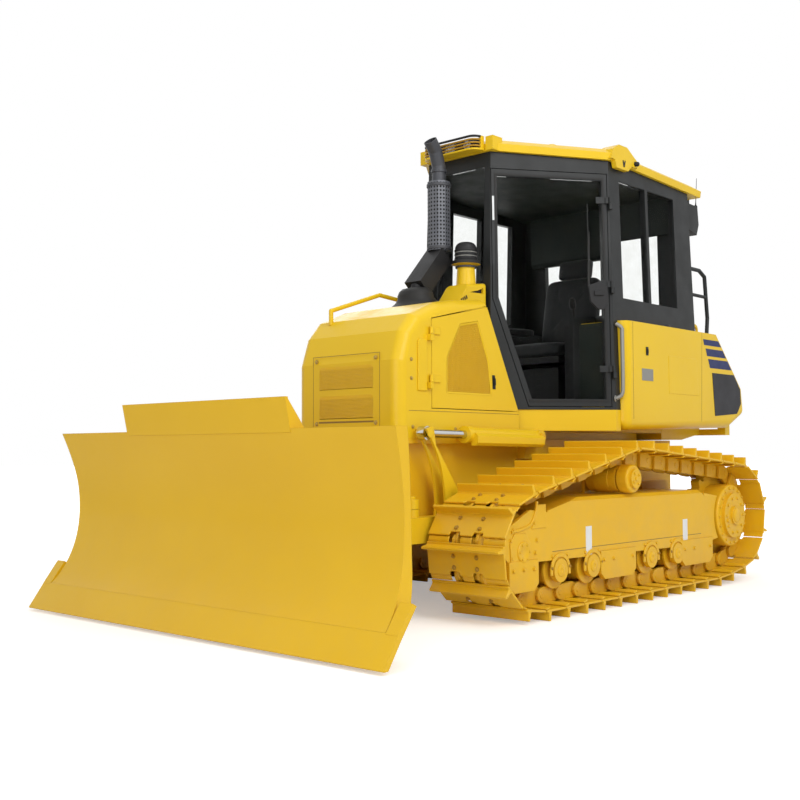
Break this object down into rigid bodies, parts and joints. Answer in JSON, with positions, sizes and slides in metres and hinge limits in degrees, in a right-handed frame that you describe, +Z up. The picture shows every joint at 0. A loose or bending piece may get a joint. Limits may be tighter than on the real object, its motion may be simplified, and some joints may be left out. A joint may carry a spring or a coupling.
{
  "type": "crawler bulldozer",
  "caption": "Small crawler bulldozer with a six-sided cab, steel tracks and a concave blade that lifts, angles and tilts on a push frame; cab and engine doors open.",
  "frame": {"origin": "on the ground below the middle of the machine", "axes": "+X forward towards the blade, +Y to the machine's left, +Z up"},
  "size_m": [4.5, 2.71, 2.815],
  "materials": {
    "yellow_paint": "gloss",
    "dark_paint": "satin",
    "tinted_glass": "gloss",
    "black_plastic": "matte",
    "seat_cloth": "matte",
    "rod_chrome": "polished",
    "exhaust_steel": "satin",
    "engine_iron": "matte",
    "lamp_plastic": "gloss"
  },
  "bodies": {
    "machine": {"air_precleaner": "black_plastic", "cab_console": "black_plastic", "cab_deck": "yellow_paint", "cab_frame": "dark_paint", "cab_glass": "tinted_glass", "cab_roof": "yellow_paint", "cab_seat": "seat_cloth", "carrier_rollers": "yellow_paint", "drawbar": "yellow_paint", "engine_block": "engine_iron", "exhaust_stack": "exhaust_steel", "final_drives": "yellow_paint", "hood": "yellow_paint", "hood_handrail": "yellow_paint", "idlers": "yellow_paint", "lamp_bar": "yellow_paint", "main_frame": "yellow_paint", "nose_grille": "yellow_paint", "radiator_housing": "yellow_paint", "rear_grille": "dark_paint", "rear_rails": "dark_paint", "side_tank_left": "yellow_paint", "side_tank_right": "yellow_paint", "track_frame_left": "yellow_paint", "track_frame_right": "yellow_paint", "track_left": "yellow_paint", "track_right": "yellow_paint", "track_rollers": "yellow_paint", "work_lamps": "lamp_plastic"},
    "push_frame": {"push_frame": "yellow_paint"},
    "blade_yoke": {"blade_yoke": "yellow_paint"},
    "blade": {"blade": "yellow_paint", "cutting_edge": "yellow_paint"},
    "tilt_barrel": {"tilt_barrel": "yellow_paint"},
    "tilt_rod": {"tilt_rod": "rod_chrome"},
    "lift_barrel_left": {"lift_barrel_left": "yellow_paint"},
    "lift_rod_left": {"lift_rod_left": "rod_chrome"},
    "angle_barrel_left": {"angle_barrel_left": "yellow_paint"},
    "angle_rod_left": {"angle_rod_left": "rod_chrome"},
    "cab_door_left": {"cab_door_left": "dark_paint", "door_glass_left": "tinted_glass"},
    "engine_door_left": {"engine_door_left": "yellow_paint"},
    "lift_barrel_right": {"lift_barrel_right": "yellow_paint"},
    "lift_rod_right": {"lift_rod_right": "rod_chrome"},
    "angle_barrel_right": {"angle_barrel_right": "yellow_paint"},
    "angle_rod_right": {"angle_rod_right": "rod_chrome"},
    "cab_door_right": {"cab_door_right": "dark_paint", "door_glass_right": "tinted_glass"},
    "engine_door_right": {"engine_door_right": "yellow_paint"}
  },
  "joints": [
    {"name": "blade_lift", "type": "hinge", "parent": "machine", "child": "push_frame", "pos_m": [0.15, 0, 0.47], "axis": [0, -1, 0], "range_deg": [-12, 23]},
    {"name": "blade_angle", "type": "hinge", "parent": "push_frame", "child": "blade_yoke", "pos_m": [1.7, 0, 0.45], "axis": [0, 0, 1], "range_deg": [-25, 25]},
    {"name": "blade_tilt", "type": "hinge", "parent": "blade_yoke", "child": "blade", "pos_m": [1.845, 0, 0.45], "axis": [1, 0, 0], "range_deg": [-8, 8]},
    {"name": "lift_barrel_left_swing", "type": "hinge", "parent": "machine", "child": "lift_barrel_left", "pos_m": [-0.07, 0.465, 0.961], "axis": [0, -1, 0], "range_deg": [-10.65, 19.89]},
    {"name": "lift_rod_left_slide", "type": "slide", "parent": "lift_barrel_left", "child": "lift_rod_left", "axis": [0.9999, 0, 0.0133], "range_m": [-0.2089, 0.1109]},
    {"name": "lift_barrel_right_swing", "type": "hinge", "parent": "machine", "child": "lift_barrel_right", "pos_m": [-0.07, -0.465, 0.961], "axis": [0, -1, 0], "range_deg": [-10.65, 19.89]},
    {"name": "lift_rod_right_slide", "type": "slide", "parent": "lift_barrel_right", "child": "lift_rod_right", "axis": [0.9999, 0, 0.0133], "range_m": [-0.2089, 0.1109]},
    {"name": "angle_barrel_left_swing", "type": "hinge", "parent": "push_frame", "child": "angle_barrel_left", "pos_m": [1.085, 0.465, 0.6], "axis": [0, 0, 1], "range_deg": [-1.42, 1.42]},
    {"name": "angle_rod_left_slide", "type": "slide", "parent": "angle_barrel_left", "child": "angle_rod_left", "axis": [0.9956, -0.0938, 0], "range_m": [-0.1777, 0.1777]},
    {"name": "angle_barrel_right_swing", "type": "hinge", "parent": "push_frame", "child": "angle_barrel_right", "pos_m": [1.085, -0.465, 0.6], "axis": [0, 0, 1], "range_deg": [-1.42, 1.42]},
    {"name": "angle_rod_right_slide", "type": "slide", "parent": "angle_barrel_right", "child": "angle_rod_right", "axis": [0.9956, 0.0938, 0], "range_m": [-0.1777, 0.1777]},
    {"name": "tilt_barrel_swing", "type": "hinge", "parent": "blade_yoke", "child": "tilt_barrel", "pos_m": [1.905, -0.3, 0.78], "axis": [1, 0, 0], "range_deg": [-4.88, 4.88]},
    {"name": "tilt_rod_slide", "type": "slide", "parent": "tilt_barrel", "child": "tilt_rod", "axis": [0, 1, 0], "range_m": [-0.0501, 0.0501]},
    {"name": "cab_door_left_hinge", "type": "hinge", "parent": "machine", "child": "cab_door_left", "pos_m": [-0.48541, 0.74936, 1.13044], "axis": [-0.0173, -0.0241, 0.9996], "range_deg": [0, 110]},
    {"name": "cab_door_right_hinge", "type": "hinge", "parent": "machine", "child": "cab_door_right", "pos_m": [-0.48541, -0.74936, 1.13044], "axis": [0.0173, -0.0241, -0.9996], "range_deg": [0, 110]},
    {"name": "engine_door_left_hinge", "type": "hinge", "parent": "machine", "child": "engine_door_left", "pos_m": [0.858, 0.415, 1.3], "axis": [0, 0, -1], "range_deg": [0, 100]},
    {"name": "engine_door_right_hinge", "type": "hinge", "parent": "machine", "child": "engine_door_right", "pos_m": [0.858, -0.415, 1.3], "axis": [0, 0, 1], "range_deg": [0, 100]}
  ],
  "couplings": [
    {"joint": "lift_barrel_left_swing", "follows": "blade_lift", "ratio": 0.83993},
    {"joint": "lift_rod_left_slide", "follows": "blade_lift", "m_per_rad": -0.51045},
    {"joint": "lift_barrel_right_swing", "follows": "blade_lift", "ratio": 0.83993},
    {"joint": "lift_rod_right_slide", "follows": "blade_lift", "m_per_rad": -0.51045},
    {"joint": "angle_barrel_left_swing", "follows": "blade_angle", "ratio": 0.033948},
    {"joint": "angle_rod_left_slide", "follows": "blade_angle", "m_per_rad": -0.39819},
    {"joint": "angle_barrel_right_swing", "follows": "blade_angle", "ratio": 0.033948},
    {"joint": "angle_rod_right_slide", "follows": "blade_angle", "m_per_rad": 0.39819},
    {"joint": "tilt_barrel_swing", "follows": "blade_tilt", "ratio": 0.53862},
    {"joint": "tilt_rod_slide", "follows": "blade_tilt", "m_per_rad": -0.32983}
  ]
}
